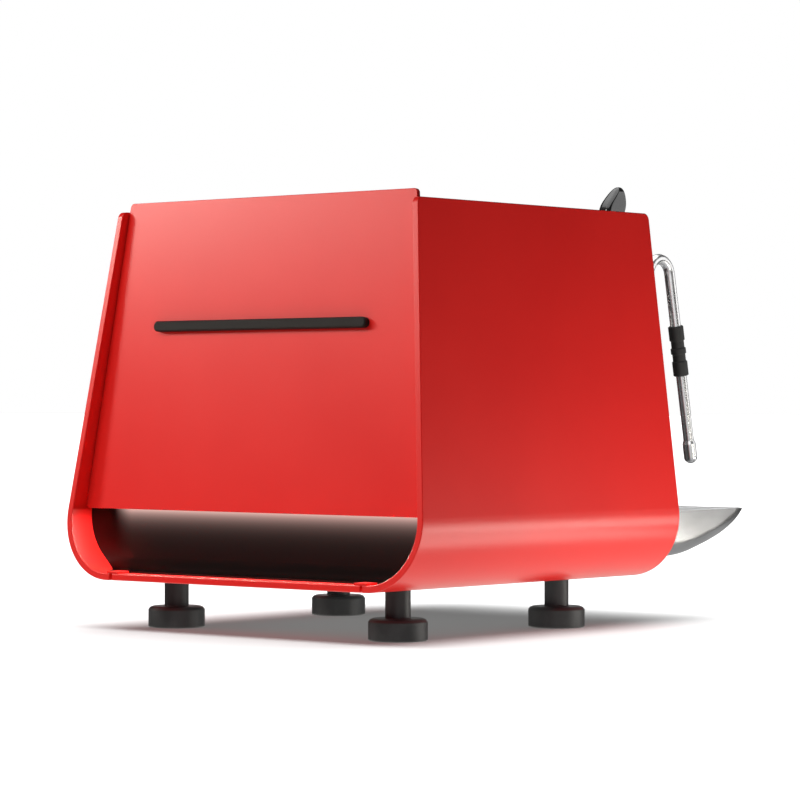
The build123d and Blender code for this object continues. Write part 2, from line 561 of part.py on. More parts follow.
COFFEE_R, COFFEE_TOP, COFFEE_WALL = 28.0, 334.0, 2.0
with BuildPart() as coffee_boiler:
    rod(0, GROUP_Y, GROUP_TOP, COFFEE_TOP, COFFEE_R)
    fillet(coffee_boiler.edges().group_by(Axis.Z)[-1], radius=5)
    rod(0, GROUP_Y, GROUP_TOP + COFFEE_WALL, COFFEE_TOP - COFFEE_WALL, COFFEE_R - COFFEE_WALL,
        Mode.SUBTRACT)
save(coffee_boiler, "coffee_boiler")

with BuildPart() as steam_boiler:
    cross_rod(-BOILER_HALF, BOILER_HALF, BOILER_Y, BOILER_Z, BOILER_R)
    fillet(steam_boiler.edges().filter_by(GeomType.CIRCLE), radius=10)
    cross_rod(END_T - BOILER_HALF, BOILER_HALF - END_T, BOILER_Y, BOILER_Z, BOILER_R - 3,
              Mode.SUBTRACT)
save(steam_boiler, "steam_boiler")

STAND_X, STAND_T, STAND_WIDTH, STAND_TOP = 81.5, 3.0, 70.0, 240.0
with BuildPart() as boiler_stand:
    for sign in (-1, 1):
        with Locations((sign * STAND_X, BOILER_Y, (DECK_Z + STAND_TOP) / 2)):
            Box(STAND_T, STAND_WIDTH, STAND_TOP - DECK_Z)
    cross_rod(-BOILER_HALF, BOILER_HALF, BOILER_Y, BOILER_Z, BOILER_R + 0.05, Mode.SUBTRACT)
save(boiler_stand, "boiler_stand")

with BuildPart() as pump_motor:
    cross_rod(MOTOR_X0, MOTOR_X1, PUMP_Y, PUMP_Z, PUMP_R)
    fillet(pump_motor.edges().filter_by(GeomType.CIRCLE), radius=4)
    box(MOTOR_X0 + 14, MOTOR_X1 - 14, PUMP_Y - 26, PUMP_Y + 26, DECK_Z, PUMP_Z - 20)
    cross_rod(MOTOR_X0, SHAFT_HALF + 0.3, PUMP_Y, PUMP_Z, SHAFT_R + RUN_FIT, Mode.SUBTRACT)
save(pump_motor, "pump_motor")

PUMP_HEAD_X, PUMP_HEAD_R = -66.0, 26.0
with BuildPart() as pump_head:
    cross_rod(PUMP_HEAD_X, MOTOR_X0, PUMP_Y, PUMP_Z, PUMP_HEAD_R)
    chamfer(pump_head.edges().filter_by(GeomType.CIRCLE).sort_by(Axis.X)[0], length=4)
    cross_rod(-SHAFT_HALF - 0.3, MOTOR_X0, PUMP_Y, PUMP_Z, SHAFT_R + RUN_FIT, Mode.SUBTRACT)
save(pump_head, "pump_head")

with BuildPart() as pump_shaft:
    cross_rod(-SHAFT_HALF, SHAFT_HALF, PUMP_Y, PUMP_Z, SHAFT_R)
save(pump_shaft, "pump_shaft")

CASE_X0, CASE_X1, CASE_Y0, CASE_Y1, CASE_TOP, CASE_WALL = -150.0, -92.0, 30.0, 180.0, 190.0, 2.0
with BuildPart() as control_box:
    box(CASE_X0, CASE_X1, CASE_Y0, CASE_Y1, DECK_Z, CASE_TOP)
    fillet(control_box.edges().filter_by(Axis.Z), radius=3)
    box(CASE_X0 + CASE_WALL, CASE_X1 - CASE_WALL, CASE_Y0 + CASE_WALL, CASE_Y1 - CASE_WALL,
        DECK_Z + CASE_WALL, CASE_TOP - CASE_WALL, Mode.SUBTRACT)
save(control_box, "control_box")

SOCKET_LOW = FLOOR_GAP + 1            # level of the sockets under the base
INLET_TOP, INLET_FLOOR = 76.0, 60.0
with BuildPart() as power_inlet:
    box(INLET_X - INLET_HALF_X, INLET_X + INLET_HALF_X, INLET_Y - INLET_HALF_Y,
        INLET_Y + INLET_HALF_Y, SOCKET_LOW, INLET_TOP)
    box(INLET_X - INLET_HALF_X + 3, INLET_X + INLET_HALF_X - 3, INLET_Y - INLET_HALF_Y + 4,
        INLET_Y + INLET_HALF_Y - 4, SOCKET_LOW, INLET_FLOOR, Mode.SUBTRACT)
    for dx, dy in ((-6, 2), (0, -2), (6, 2)):
        box(INLET_X + dx - 1, INLET_X + dx + 1, INLET_Y + dy - 2, INLET_Y + dy + 2,
            SOCKET_LOW + 4, INLET_FLOOR + 1)
save(power_inlet, "power_inlet")

FITTING_TOP = 64.0
with BuildPart() as water_fittings:
    for x, y in FITTING_SPOTS:
        rod(x, y, SOCKET_LOW, FITTING_TOP, FITTING_R)
        rod(x, y, SOCKET_LOW, SOCKET_LOW + FITTING_DEPTH, FITTING_BORE_R, Mode.SUBTRACT)
save(water_fittings, "water_fittings")

# ---- steam valve with its lever ----
VALVE_HALF, VALVE_REAR_Y, VALVE_LOW, VALVE_TOP = 12.0, -60.0, 300.0, 326.0
CHEEK_T, CHEEK_TOP, HUB_HALF = 4.0, 345.0, 6.0
with BuildPart() as steam_valve:
    box(LEVER_X - VALVE_HALF, LEVER_X + VALVE_HALF, HEAD_FRONT_Y + HEAD_WALL, VALVE_REAR_Y,
        VALVE_LOW, VALVE_TOP)
    for sign in (-1, 1):
        with Locations((LEVER_X + sign * (VALVE_HALF - CHEEK_T / 2), LEVER_Y,
                        (VALVE_TOP + CHEEK_TOP) / 2)):
            Box(CHEEK_T, 2 * HUB_R, CHEEK_TOP - VALVE_TOP)
    rod(LEVER_X, LEVER_Y, VALVE_LOW + 6, VALVE_TOP, STEM_R + RUN_FIT, Mode.SUBTRACT)
    cross_rod(LEVER_X - VALVE_HALF, LEVER_X + VALVE_HALF, LEVER_Y, LEVER_Z, PIN_R, Mode.SUBTRACT)
save(steam_valve, "steam_valve")

with BuildPart() as lever_pin:
    cross_rod(LEVER_X - VALVE_HALF, LEVER_X + VALVE_HALF, LEVER_Y, LEVER_Z, PIN_R)
save(lever_pin, "lever_pin")

with BuildPart() as steam_valve_stem:
    rod(LEVER_X, LEVER_Y, VALVE_LOW + 9, LEVER_Z - HUB_R - 0.5, STEM_R)
save(steam_valve_stem, "steam_valve_stem")

# height, forward place, half length, half thickness and corner radius of each paddle section
PADDLE_SECTIONS = [(364.0, -75.8, 12.0, 5.6, 3.6), (370.0, -78.3, 13.4, 6.5, 4.0),
                   (380.0, -82.8, 10.4, 6.0, 3.8), (386.0, -85.6, 6.8, 4.8, 3.2),
                   (389.4, -87.0, 3.9, 2.9, 2.0), (390.6, -87.4, 1.7, 1.3, 0.9)]
with BuildPart() as steam_lever:
    cross_rod(LEVER_X - HUB_HALF, LEVER_X + HUB_HALF, LEVER_Y, LEVER_Z, HUB_R)
    box(LEVER_X - 4, LEVER_X + 4, LEVER_Y - 4.5, LEVER_Y + 3.5, LEVER_Z,
        PADDLE_SECTIONS[0][0] + 1)
    for z, y, along, across, corner in PADDLE_SECTIONS:
        with BuildSketch(Plane.XY.offset(z)):
            with Locations((LEVER_X, y)):
                RectangleRounded(2 * across, 2 * along, corner)
    loft()
    cross_rod(LEVER_X - HUB_HALF, LEVER_X + HUB_HALF, LEVER_Y, LEVER_Z, PIN_R + RUN_FIT,
              Mode.SUBTRACT)
save(steam_lever, "steam_lever")

# ---- steam wand: ball joint, bent pipe, grip and nozzle ----
rise = math.radians(WAND_RISE)
wand_up = Vector(0, -math.cos(rise), math.sin(rise))
ball_centre = Vector(WAND_X, BALL_Y, BALL_Z)
socket_plane = Plane(origin=ball_centre, x_dir=(1, 0, 0), z_dir=wand_up)
NUT_R, NUT_TOP, SOCKET_DEPTH = 13.5, 6.0, 14.0

with BuildPart() as wand_socket:
    with BuildSketch(socket_plane.offset(-SOCKET_DEPTH)):
        Circle(NUT_R - 1.5)
    extrude(amount=SOCKET_DEPTH)
    with BuildSketch(Plane.XZ.offset(-HEAD_FRONT_Y)):
        with Locations((WAND_X, BALL_Z - 9)):
            Circle(11)
    extrude(amount=8)
    with Locations(ball_centre):
        Sphere(CAVITY_R, mode=Mode.SUBTRACT)
    box(WAND_X - 20, WAND_X + 20, HEAD_FRONT_Y, HEAD_FRONT_Y + 30, BALL_Z - 40, BALL_Z + 40,
        Mode.SUBTRACT)
    split(bisect_by=socket_plane, keep=Keep.BOTTOM)
save(wand_socket, "wand_socket")

with BuildPart() as wand_nut:
    with BuildSketch(socket_plane):
        RegularPolygon(radius=NUT_R, side_count=6)
    extrude(amount=NUT_TOP)
    with Locations(ball_centre):
        Sphere(CAVITY_R, mode=Mode.SUBTRACT)
save(wand_nut, "wand_nut")

with BuildPart() as wand_seat:
    with Locations(ball_centre):
        Sphere(CAVITY_R - 0.3)
        Sphere(BALL_R + 0.3, mode=Mode.SUBTRACT)
    split(bisect_by=Plane.XY.offset(BALL_Z - 3), keep=Keep.BOTTOM)
save(wand_seat, "wand_seat")

# the long leg runs through LEG_Y at LEG_Z; both legs meet at the corner above the bend
LEG_Y, LEG_Z = -151.0, 290.9
leg_y_at_ball = LEG_Y + WAND_FALL * (BALL_Z - LEG_Z)
corner_run = (BALL_Y - leg_y_at_ball) / (math.cos(rise) + WAND_FALL * math.sin(rise))
wand_corner = ball_centre + wand_up * corner_run
wand_down = Vector(0, -WAND_FALL, -1).normalized()


def leg_point(z):
    """Point of the long leg's axis at height z."""
    return Vector(WAND_X, LEG_Y + WAND_FALL * (z - LEG_Z), z)


def leg_plane(z):
    """Plane across the long leg at height z, facing down the pipe."""
    return Plane(origin=leg_point(z), x_dir=(1, 0, 0), z_dir=wand_down)


TIP_START_Z = 163.5
with BuildPart() as wand_pipe:
    with BuildLine() as wand_path:
        FilletPolyline(ball_centre, wand_corner, leg_point(TIP_START_Z), radius=WAND_BEND)
    with BuildSketch(Plane(origin=ball_centre, x_dir=(1, 0, 0), z_dir=wand_up)):
        Circle(WAND_R)
        Circle(WAND_R - WAND_WALL, mode=Mode.SUBTRACT)
    sweep(path=wand_path.line)
    with Locations(ball_centre):
        Sphere(BALL_R)
save(wand_pipe, "wand_pipe")

GRIP_TOP_Z, GRIP_R, WAIST_R = 267.5, 6.95, 5.95
CAP, WAIST, RING = 13.8, 18.4, 6.0    # lengths of each cap, of the waist and of the ring round it
grip_length = 2 * CAP + WAIST
ring_start = (grip_length - RING) / 2
# distance down the leg where each raised band starts and ends
GRIP_BANDS = [(0, CAP), (ring_start, ring_start + RING), (CAP + WAIST, grip_length)]
grip_outline = [(0, WAND_R)]
for start, end in GRIP_BANDS:
    grip_outline += [(start, WAIST_R), (start + 0.7, GRIP_R), (end - 0.7, GRIP_R), (end, WAIST_R)]
grip_outline.append((grip_length, WAND_R))
with BuildPart() as wand_grip:
    grip_plane = leg_plane(GRIP_TOP_Z)
    with BuildSketch(Plane(origin=grip_plane.origin, x_dir=wand_down, z_dir=(1, 0, 0))):
        Polygon(*grip_outline, align=None)
    revolve(axis=Axis(grip_plane.origin, wand_down))
save(wand_grip, "wand_grip")

TIP_R, TIP_NOSE = 6.1, 6.0            # radius of the nozzle, length of its rounded nose
tip_length = (leg_point(TIP_START_Z) - leg_point(WAND_TIP_Z)).length
nose_start = tip_length - TIP_NOSE
with BuildPart() as wand_tip:
    tip_plane = leg_plane(TIP_START_Z)
    with BuildSketch(Plane(origin=tip_plane.origin, x_dir=wand_down, z_dir=(1, 0, 0))):
        with BuildLine():
            Polyline((tip_length, 0), (0, 0), (0, WAND_R + 0.2), (3, TIP_R), (nose_start, TIP_R))
            Spline((nose_start, TIP_R), (tip_length - 1.5, 4), (tip_length, 0),
                   tangents=((1, 0), (0, -1)))
        make_face()
    revolve(axis=Axis(tip_plane.origin, wand_down))
save(wand_tip, "wand_tip")

# ---- hot water spout ----
SPOUT_R, SPOUT_NUT_H, SPOUT_TOP = 5.0, 8.0, HEAD_LOW + 6
OUTLET_Y, OUTLET_LOW, OUTLET_TOP = SPOUT_Y - 44.0, 168.0, 182.0
with BuildPart() as water_nut:
    with BuildSketch(Plane.XY.offset(HEAD_LOW - SPOUT_NUT_H)):
        with Locations((SPOUT_X, SPOUT_Y)):
            RegularPolygon(radius=11, side_count=6)
            Circle(SPOUT_R + RUN_FIT, mode=Mode.SUBTRACT)
    extrude(amount=SPOUT_NUT_H)
save(water_nut, "water_nut")

with BuildPart() as water_spout:
    with BuildLine() as spout_path:
        FilletPolyline((SPOUT_X, SPOUT_Y, SPOUT_TOP), (SPOUT_X, SPOUT_Y, 222),
                       (SPOUT_X, OUTLET_Y, 196), (SPOUT_X, OUTLET_Y, OUTLET_TOP - 8),
                       radius=[16, 12])
    with BuildSketch(Plane.XY.offset(SPOUT_TOP)):
        with Locations((SPOUT_X, SPOUT_Y)):
            Circle(SPOUT_R)
    sweep(path=spout_path.line)
    rod(SPOUT_X, OUTLET_Y, OUTLET_LOW, OUTLET_TOP, SPOUT_R + 2)
    rod(SPOUT_X, SPOUT_Y, HEAD_LOW + HEAD_WALL + 0.3, SPOUT_TOP, SPOUT_R + 3)
save(water_spout, "water_spout")
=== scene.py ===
import math

import bmesh
import bpy
from mathutils import Matrix, Vector


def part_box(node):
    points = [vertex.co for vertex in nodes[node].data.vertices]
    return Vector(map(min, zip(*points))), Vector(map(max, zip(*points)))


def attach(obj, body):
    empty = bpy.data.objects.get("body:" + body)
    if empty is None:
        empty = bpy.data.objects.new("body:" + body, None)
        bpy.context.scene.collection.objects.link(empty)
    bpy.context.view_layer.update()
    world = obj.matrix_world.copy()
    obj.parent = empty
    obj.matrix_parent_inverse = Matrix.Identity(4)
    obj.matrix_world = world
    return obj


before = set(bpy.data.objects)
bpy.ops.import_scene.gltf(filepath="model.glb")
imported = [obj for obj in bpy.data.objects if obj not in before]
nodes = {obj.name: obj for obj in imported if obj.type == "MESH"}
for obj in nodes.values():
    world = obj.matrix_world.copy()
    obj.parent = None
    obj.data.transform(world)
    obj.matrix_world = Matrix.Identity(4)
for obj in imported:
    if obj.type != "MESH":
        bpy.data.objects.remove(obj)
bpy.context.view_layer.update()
MM = 0.001
WARM = (1.0, 0.96, 0.88)


# ---- shader maths ----
class Wire:
    """A node socket that can be added, multiplied and so on, each adding a Math node."""

    def __init__(self, tree, socket):
        self.tree = tree
        self.socket = socket

    def node(self, kind, settings=None, output=0, **inputs):
        """Add any node: settings first, then values or links by socket name or number."""
        made = self.tree.nodes.new(kind)
        for key, value in (settings or {}).items():
            if key == "stops":
                fill_ramp(made.color_ramp, value)
            else:
                setattr(made, key, value)
        for key, value in inputs.items():
            spot = int(key[1:]) if key[0] == "_" else key.replace("_", " ")
            socket = made.inputs[spot]
            if isinstance(value, Wire):
                self.tree.links.new(value.socket, socket)
            else:
                socket.default_value = value
        return Wire(self.tree, made.outputs[output])

    def math(self, operation, *values, clamp=False):
        spots = {f"_{i}": v for i, v in enumerate(values)}
        settings = {"operation": operation, "use_clamp": clamp}
        return self.node("ShaderNodeMath", settings, **spots)

    def __add__(self, other):
        return self.math("ADD", self, other)

    __radd__ = __add__

    def __sub__(self, other):
        return self.math("SUBTRACT", self, other)

    def __rsub__(self, other):
        return self.math("SUBTRACT", other, self)

    def __mul__(self, other):
        return self.math("MULTIPLY", self, other)

    __rmul__ = __mul__

    def between(self, low, high):
        """0 at low, 1 at high, clamped outside."""
        return self.math("DIVIDE", self - low, high - low, clamp=True)

    def smooth(self, low, high):
        """As between, with soft ends."""
        return self.node("ShaderNodeMapRange", {"interpolation_type": "SMOOTHSTEP"},
                         _0=self, _1=low, _2=high, _3=0.0, _4=1.0)

    def mix(self, dark, light):
        """Blend two colours by this value."""
        return self.node("ShaderNodeMix", {"data_type": "RGBA", "clamp_factor": True}, output=2,
                         _0=self, _6=dark, _7=light)


def fill_ramp(ramp, stops):
    while len(ramp.elements) > 1:
        ramp.elements.remove(ramp.elements[-1])
    for index, (place, colour) in enumerate(stops):
        element = ramp.elements[0] if index == 0 else ramp.elements.new(place)
        element.position = place
        element.color = colour


def rgb(red, green, blue):
    """Linear colour from display values 0 to 255."""
    def linear(value):
        value /= 255
        return value / 12.92 if value <= 0.04045 else ((value + 0.055) / 1.055) ** 2.4
    return (linear(red), linear(green), linear(blue), 1.0)


class Finish:
    """A material being made: one shader, with helpers for place and noise over the surface."""

    def __init__(self, name, **constants):
        self.material = bpy.data.materials.new(name)
        self.material.use_nodes = True
        self.tree = self.material.node_tree
        self.shader = self.tree.nodes["Principled BSDF"]
        for key, value in constants.items():
            self.shader.inputs[key.replace("_", " ")].default_value = value
        self.any = Wire(self.tree, self.shader.outputs[0])
        self.place = self.any.node("ShaderNodeTexCoord", output=3)

    def axis(self, letter):
        """One coordinate of the surface, in metres."""
        split = self.any.node("ShaderNodeSeparateXYZ", output="XYZ".index(letter), _0=self.place)
        return split

    def noise(self, scale, detail=2.0, rough=0.5, stretch=None):
        vector = self.place
        if stretch:
            vector = self.any.node("ShaderNodeVectorMath", {"operation": "MULTIPLY"},
                                   _0=self.place, _1=stretch)
        return self.any.node("ShaderNodeTexNoise", _0=vector, Scale=scale, Detail=detail,
                             Roughness=rough)

    def cells(self, scale, output=0):
        return self.any.node("ShaderNodeTexVoronoi", output=output, Vector=self.place, Scale=scale)

    def feed(self, name, wire):
        self.tree.links.new(wire.socket, self.shader.inputs[name])

    def bump(self, height, distance, strength=1.0, edge=0.0):
        settings = {"Height": height, "Distance": distance, "Strength": strength}
        if edge:
            settings["Normal"] = self.any.node("ShaderNodeBevel", {"samples": 4}, Radius=edge)
        self.feed("Normal", self.any.node("ShaderNodeBump", **settings))


# ---- finishes ----
def red_powder_coat():
    """Satin red powder coat with a very fine orange peel and rubbed edges."""
    coat = Finish("red_powder_coat", Specular_IOR_Level=0.5)
    cloud = coat.noise(9.0, 3.0)
    fine = coat.noise(1400.0, 1.0)
    coat.feed("Base Color", cloud.between(0.3, 0.7).mix(rgb(229, 29, 26), rgb(235, 33, 29)))
    coat.feed("Roughness", cloud * 0.04 + 0.27 + fine * 0.03)
    coat.bump(fine, 0.00003, edge=0.0006)
    return coat.material


def satin_black(name="satin_black", tone=(24, 25, 27), rough=0.42, shine=0.5):
    paint = Finish(name, Specular_IOR_Level=shine)
    fine = paint.noise(1800.0, 2.0)
    cloud = paint.noise(14.0, 3.0)
    lighter = tuple(v + 6 for v in tone)
    paint.feed("Base Color", cloud.between(0.3, 0.7).mix(rgb(*tone), rgb(*lighter)))
    paint.feed("Roughness", rough - 0.04 + cloud * 0.08)
    paint.bump(fine, 0.00004, edge=0.0005)
    return paint.material


def moulded_rubber():
    """Black foot rubber with a fine grain and a little dust."""
    rubber = Finish("moulded_rubber", Specular_IOR_Level=0.45)
    grain = rubber.noise(900.0, 3.0)
    dust = rubber.noise(45.0, 4.0)
    rubber.feed("Base Color", dust.between(0.45, 0.8).mix(rgb(33, 35, 38), rgb(52, 54, 57)))
    rubber.feed("Roughness", dust * 0.2 + 0.38)
    rubber.bump(grain, 0.00008, edge=0.0012)
    return rubber.material


def grip_rubber():
    """Soft dark rubber with a fine grain."""
    rubber = Finish("grip_rubber", Specular_IOR_Level=0.4)
    grain = rubber.noise(1500.0, 2.0)
    rubber.feed("Base Color", grain.mix(rgb(24, 24, 25), rgb(38, 38, 40)))
    rubber.feed("Roughness", grain * 0.15 + 0.5)
    rubber.bump(grain, 0.00006, edge=0.0006)
    return rubber.material


def polished_steel(name="polished_steel", rough=0.08, tone=226):
    """Mirror steel with faint polishing haze and fingertip smears."""
    steel = Finish(name, Metallic=1.0)
    haze = steel.noise(18.0, 5.0, 0.6)
    scratch = steel.noise(220.0, 3.0, stretch=(1.0, 0.12, 1.0))
    low, high = rgb(tone, tone, tone), rgb(tone + 18, tone + 18, tone + 19)
    steel.feed("Base Color", haze.between(0.3, 0.7).mix(low, high))
    steel.feed("Roughness", haze * 0.07 + rough - 0.02 + scratch * 0.03)
    steel.bump(scratch, 0.000006, edge=0.0004)
    return steel.material


def brushed_steel(name="brushed_steel", grain_axis=(0.03, 1.0, 1.0), rough=0.28):
    """Stainless sheet with a straight brushed grain."""
    steel = Finish(name, Metallic=1.0)
    grain = steel.noise(900.0, 3.0, 0.6, stretch=grain_axis)
    cloud = steel.noise(7.0, 3.0)
    steel.feed("Base Color", grain.between(0.3, 0.7).mix(rgb(172, 173, 175), rgb(206, 207, 208)))
    steel.feed("Roughness", grain * 0.16 + rough - 0.06 + cloud * 0.05)
    steel.bump(grain, 0.000012, edge=0.0004)
    return steel.material


def zinc_sheet():
    """Galvanised sheet with faint crystal spangle."""
    zinc = Finish("zinc_sheet", Metallic=1.0)
    spangle = zinc.cells(160.0)
    cloud = zinc.noise(30.0, 3.0)
    zinc.feed("Base Color", spangle.between(0.0, 0.9).mix(rgb(138, 142, 146), rgb(172, 175, 178)))
    zinc.feed("Roughness", cloud * 0.2 + 0.3)
    zinc.bump(cloud, 0.00002, edge=0.0004)
    return zinc.material


def gloss_black(name="gloss_black", tone=(12, 12, 13)):
    """Polished black thermoset."""
    gloss = Finish(name, Specular_IOR_Level=0.6, Coat_Roughness=0.04)
    haze = gloss.noise(35.0, 4.0)
    gloss.feed("Base Color", haze.mix(rgb(*tone), rgb(*(v + 8 for v in tone))))
    gloss.feed("Roughness", haze * 0.08 + 0.12)
    gloss.feed("Coat Weight", haze * 0.2 + 0.5)
    gloss.bump(haze, 0.00002, edge=0.0005)
    return gloss.material


def panel_glass():
    """Black glass with faint smears."""
    glass = Finish("panel_glass", Specular_IOR_Level=0.6, Coat_Roughness=0.02)
    smear = glass.noise(22.0, 5.0, 0.65)
    glass.feed("Base Color", smear.mix(rgb(7, 7, 8), rgb(15, 15, 17)))
    glass.feed("Roughness", smear.between(0.4, 0.8) * 0.12 + 0.05)
    glass.feed("Coat Weight", smear * 0.1 + 0.6)
    return glass.material


def cast_metal(name, dark, light, rough=0.42, metallic=1.0):
    """Cast or turned metal with a grainy skin."""
    cast = Finish(name, Metallic=metallic)
    grain = cast.noise(500.0, 4.0)
    stain = cast.noise(24.0, 4.0)
    cast.feed("Base Color", stain.between(0.3, 0.75).mix(rgb(*dark), rgb(*light)))
    cast.feed("Roughness", stain * 0.2 + rough - 0.1)
    cast.bump(grain, 0.00005, edge=0.0005)
    return cast.material


def seal_rubber():
    seal = Finish("seal_rubber")
    grain = seal.noise(700.0, 3.0)
    seal.feed("Base Color", grain.mix(rgb(120, 34, 26), rgb(150, 46, 34)))
    seal.feed("Roughness", grain * 0.1 + 0.5)
    seal.bump(grain, 0.00005)
    return seal.material


def pale_plastic():
    pale = Finish("pale_plastic", Emission_Strength=0.0)
    grain = pale.noise(400.0, 2.0)
    pale.feed("Base Color", grain.mix(rgb(226, 222, 212), rgb(238, 235, 228)))
    pale.feed("Roughness", grain * 0.1 + 0.35)
    return pale.material


# height where the light painted on the recess wall is strongest, and the drops over which its two
# parts fade
PAINTED_LIGHT_TOP_Z, PAINTED_LIGHT_NEAR_FADE, PAINTED_LIGHT_FAR_FADE = 0.1, 0.005, 0.025


def recess_painted_light():
    """Black sheet with painted light: a warm emission standing in for the hidden strip's light,
    brightest along the upper edge and fading below, with painted shade at the +X end by the side
    panel.
    """
    sheet = Finish("recess_painted_light", Specular_IOR_Level=0.35, Emission_Strength=1.0)
    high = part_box("recess_cover")[1]
    # painted light: two falls of warm emission below the top, standing in for the hidden strip's
    # light on the wall
    depth = PAINTED_LIGHT_TOP_Z - sheet.axis("Z")
    near = sheet.any.math("POWER", math.e, depth * (-1 / PAINTED_LIGHT_NEAR_FADE))
    far = sheet.any.math("POWER", math.e, depth * (-1 / PAINTED_LIGHT_FAR_FADE))
    # painted shade: the painted light is cut off towards the +X end, where the side panel shades
    # the wall
    start = sheet.axis("X").smooth(high.x - 0.028, high.x - 0.052)
    grain = sheet.noise(1200.0, 2.0)
    lit = (near * 0.33 + far * 0.026) * start
    sheet.feed("Base Color", grain.mix(rgb(10, 9, 9), rgb(18, 16, 16)))
    sheet.feed("Roughness", grain * 0.1 + 0.38)
    sheet.feed("Emission Color", lit.mix((0.0, 0.0, 0.0, 1.0), rgb(255, 206, 196)))
    sheet.bump(grain, 0.00003)
    return sheet.material


def screen_glass():
    """Lit display: a soft dark blue field with a faint patchy glow."""
    screen = Finish("screen_glass", Specular_IOR_Level=0.6, Emission_Strength=1.0)
    smear = screen.noise(30.0, 4.0)
    screen.feed("Base Color", smear.mix(rgb(8, 10, 14), rgb(14, 17, 22)))
    screen.feed("Roughness", smear * 0.08 + 0.05)
    screen.feed("Emission Color", smear.mix(rgb(10, 16, 26), rgb(16, 24, 38)))
    return screen.material


def lit_mark():
    mark = Finish("lit_mark", Emission_Strength=1.0)
    grain = mark.noise(600.0, 2.0)
    mark.feed("Base Color", grain.mix(rgb(210, 214, 220), rgb(235, 238, 240)))
    mark.feed("Roughness", grain * 0.1 + 0.3)
    mark.feed("Emission Color", grain.mix(rgb(190, 205, 225), rgb(225, 235, 245)))
    return mark.material


RED = red_powder_coat()
BLACK = satin_black()
TRIM = satin_black("trim_black", (20, 15, 14), 0.5, 0.15)
HEAD_BLACK = satin_black("head_black", (20, 20, 22), 0.36)
RECESS = recess_painted_light()
FOOT = moulded_rubber()
GRIP = grip_rubber()
POLISHED = polished_steel()
TRAY_STEEL = polished_steel("tray_steel", 0.22, 160)
WAND_STEEL = polished_steel("wand_steel", 0.24, 222)
BRUSHED = brushed_steel()
BRUSHED_DEEP = brushed_steel("brushed_steel_deep", (1.0, 0.03, 1.0))
ZINC = zinc_sheet()
GLOSS = gloss_black()
GLASS = panel_glass()
SCREEN = screen_glass()
BRASS = cast_metal("brass", (176, 132, 70), (206, 164, 96), 0.36)
CAST = cast_metal("cast_grey", (120, 122, 124), (150, 152, 154), 0.5)
SEAL = seal_rubber()
PALE = pale_plastic()
MARK = lit_mark()

FINISH_OF = {
    RED: ["side_panel_left", "side_panel_right", "rear_panel", "rear_rail", "splice_plates"],
    TRIM: ["trim_bar"],
    BLACK: ["lever_bezel", "control_box", "power_inlet"],
    HEAD_BLACK: ["head_housing"],
    RECESS: ["recess_cover"],
    FOOT: ["foot_front_left", "foot_front_right", "foot_rear_left", "foot_rear_right"],
    GRIP: ["wand_grip"],
    WAND_STEEL: ["wand_pipe", "wand_tip"],
    POLISHED: ["wand_nut", "wand_socket", "water_spout", "water_nut", "group_collar",
               "portafilter_body", "portafilter_spout", "filter_basket",
               "brew_button_1", "brew_button_2", "brew_button_3"],
    TRAY_STEEL: ["drip_tray"],
    BRUSHED: ["backsplash", "shower_screen", "steam_boiler", "coffee_boiler", "lever_pin",
              "pump_shaft", "steam_valve_stem"],
    BRUSHED_DEEP: ["drip_grate", "cup_tray", "cup_grid"],
    ZINC: ["base_plate", "bulkhead_front", "bulkhead_rear", "top_rails", "foot_nuts",
           "boiler_stand", "group_bracket"],
    GLOSS: ["steam_lever", "portafilter_handle", "power_switch"],
    GLASS: ["control_panel"],
    SCREEN: ["display_screen"],
    BRASS: ["group_body", "steam_valve", "pump_head", "water_fittings"],
    CAST: ["pump_motor"],
    SEAL: ["group_gasket"],
    PALE: ["rear_light_strip", "wand_seat"],
}
for finish, names in FINISH_OF.items():
    for name in names:
        slots = nodes[name].data.materials
        slots.clear()
        slots.append(finish)


# ---- small details that ride on the machine ----
DETAILS = []


def detail(name, finish, body, slot, build):
    """Make one mesh by calling build on an empty bmesh, then let it ride on a body."""
    mesh = bpy.data.meshes.new(name)
    shape = bmesh.new()
    build(shape)
    bmesh.ops.remove_doubles(shape, verts=shape.verts, dist=0.000001)
    bmesh.ops.recalc_face_normals(shape, faces=shape.faces)
    shape.to_mesh(mesh)
    shape.free()
    mesh.materials.append(finish)
    thing = bpy.data.objects.new(name, mesh)
    bpy.context.scene.collection.objects.link(thing)
    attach(thing, body)
    DETAILS.append(thing)


def plate(shape, outline, front, depth):
    """Flat plate facing the barista; outline of (x, z) and front in millimetres."""
    near = [shape.verts.new((x * MM, front * MM, z * MM)) for x, z in outline]
    far = [shape.verts.new((x * MM, (front + depth) * MM, z * MM)) for x, z in outline]
    shape.faces.new(near)
    shape.faces.new(far[::-1])
    for i in range(len(near)):
        shape.faces.new((near[i - 1], far[i - 1], far[i], near[i]))


def bar(shape, x, z, length, width, front, depth, turn=0.0):
    """Round-ended bar centred at (x, z), turned by an angle in degrees."""
    half, r = length / 2 - width / 2, width / 2
    outline = []
    for centre, first in ((half, -90), (-half, 90)):
        for step in range(7):
            angle = math.radians(first + 30 * step)
            outline.append((centre + r * math.cos(angle), r * math.sin(angle)))
    c, s = math.cos(math.radians(turn)), math.sin(math.radians(turn))
    plate(shape, [(x + u * c - v * s, z + u * s + v * c) for u, v in outline], front, depth)


